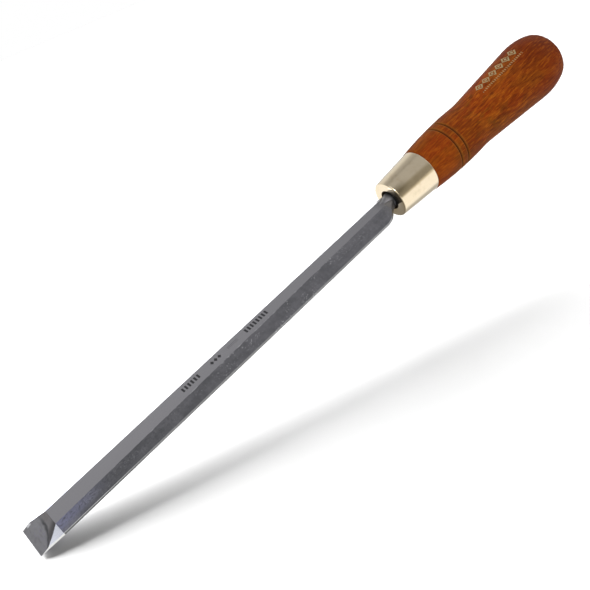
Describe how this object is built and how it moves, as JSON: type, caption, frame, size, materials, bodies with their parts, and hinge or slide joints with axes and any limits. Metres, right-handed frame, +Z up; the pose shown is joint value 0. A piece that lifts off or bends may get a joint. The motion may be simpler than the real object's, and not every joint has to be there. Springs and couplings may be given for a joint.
{
  "type": "paring chisel",
  "caption": "Long bevel-edged paring chisel with a tang blade, a tapered brass ferrule and a turned wooden handle, for slicing thin shavings by hand.",
  "frame": {"origin": "centre of the bounding box, which lies on the axis of the handle half way along the tool", "axes": "+X along the handle's axis from the cutting edge towards the domed end, +Z up from the flat back through the bevelled side, +Y across the blade"},
  "size_m": [0.3308, 0.031, 0.031],
  "materials": {
    "blade_steel": "ground",
    "ferrule_brass": "polished",
    "handle_wood": "stained and lacquered"
  },
  "bodies": {
    "root": {"blade": "blade_steel", "ferrule": "ferrule_brass", "handle": "handle_wood"}
  },
  "joints": []
}
